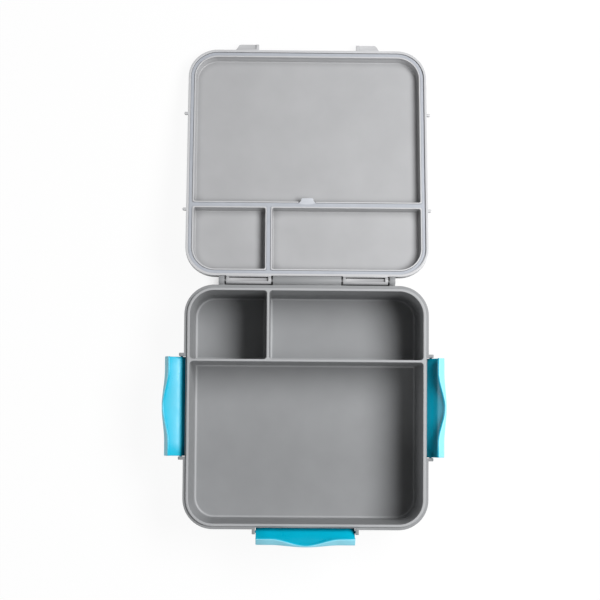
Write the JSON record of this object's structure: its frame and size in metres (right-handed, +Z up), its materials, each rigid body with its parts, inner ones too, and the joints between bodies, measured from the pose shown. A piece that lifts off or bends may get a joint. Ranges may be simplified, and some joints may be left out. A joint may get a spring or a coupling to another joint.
{
  "type": "bento lunch box",
  "caption": "Square lunch box with moulded compartments, a hinged lid with a removable silicone seal, and swing clips on its sides and front, shown open.",
  "frame": {"origin": "middle of the tub's flat underside, on the table", "axes": "+X to the right, +Y towards the hinge and the laid-back lid, +Z up"},
  "size_m": [0.2316, 0.4199, 0.0592],
  "materials": {
    "tub_plastic": "smooth matte moulding",
    "lid_plastic": "smooth matte moulding",
    "seal_silicone": "milky grey silicone",
    "clip_plastic": "glossy turquoise moulding",
    "pin_steel": "drawn wire"
  },
  "bodies": {
    "tub": {"base_tub": "tub_plastic", "left_hinge_pin": "pin_steel", "right_hinge_pin": "pin_steel"},
    "lid": {"lid_shell": "lid_plastic", "lid_seal": "seal_silicone"},
    "left_clip": {"left_clip": "clip_plastic"},
    "right_clip": {"right_clip": "clip_plastic"},
    "front_clip": {"front_clip": "clip_plastic"}
  },
  "joints": [
    {"name": "lid_hinge", "type": "hinge", "parent": "tub", "child": "lid", "pos_m": [0, 0.1033, 0.051], "axis": [1, 0, 0], "range_deg": [0, 192.09]},
    {"name": "left_clip_swing", "type": "hinge", "parent": "tub", "child": "left_clip", "pos_m": [-0.102, 0, 0.044], "axis": [0, 1, 0], "range_deg": [-48, 62]},
    {"name": "right_clip_swing", "type": "hinge", "parent": "tub", "child": "right_clip", "pos_m": [0.102, 0, 0.044], "axis": [0, -1, 0], "range_deg": [-67, 43]},
    {"name": "front_clip_swing", "type": "hinge", "parent": "tub", "child": "front_clip", "pos_m": [0, -0.1015, 0.044], "axis": [-1, 0, 0], "range_deg": [-68, 42]}
  ]
}
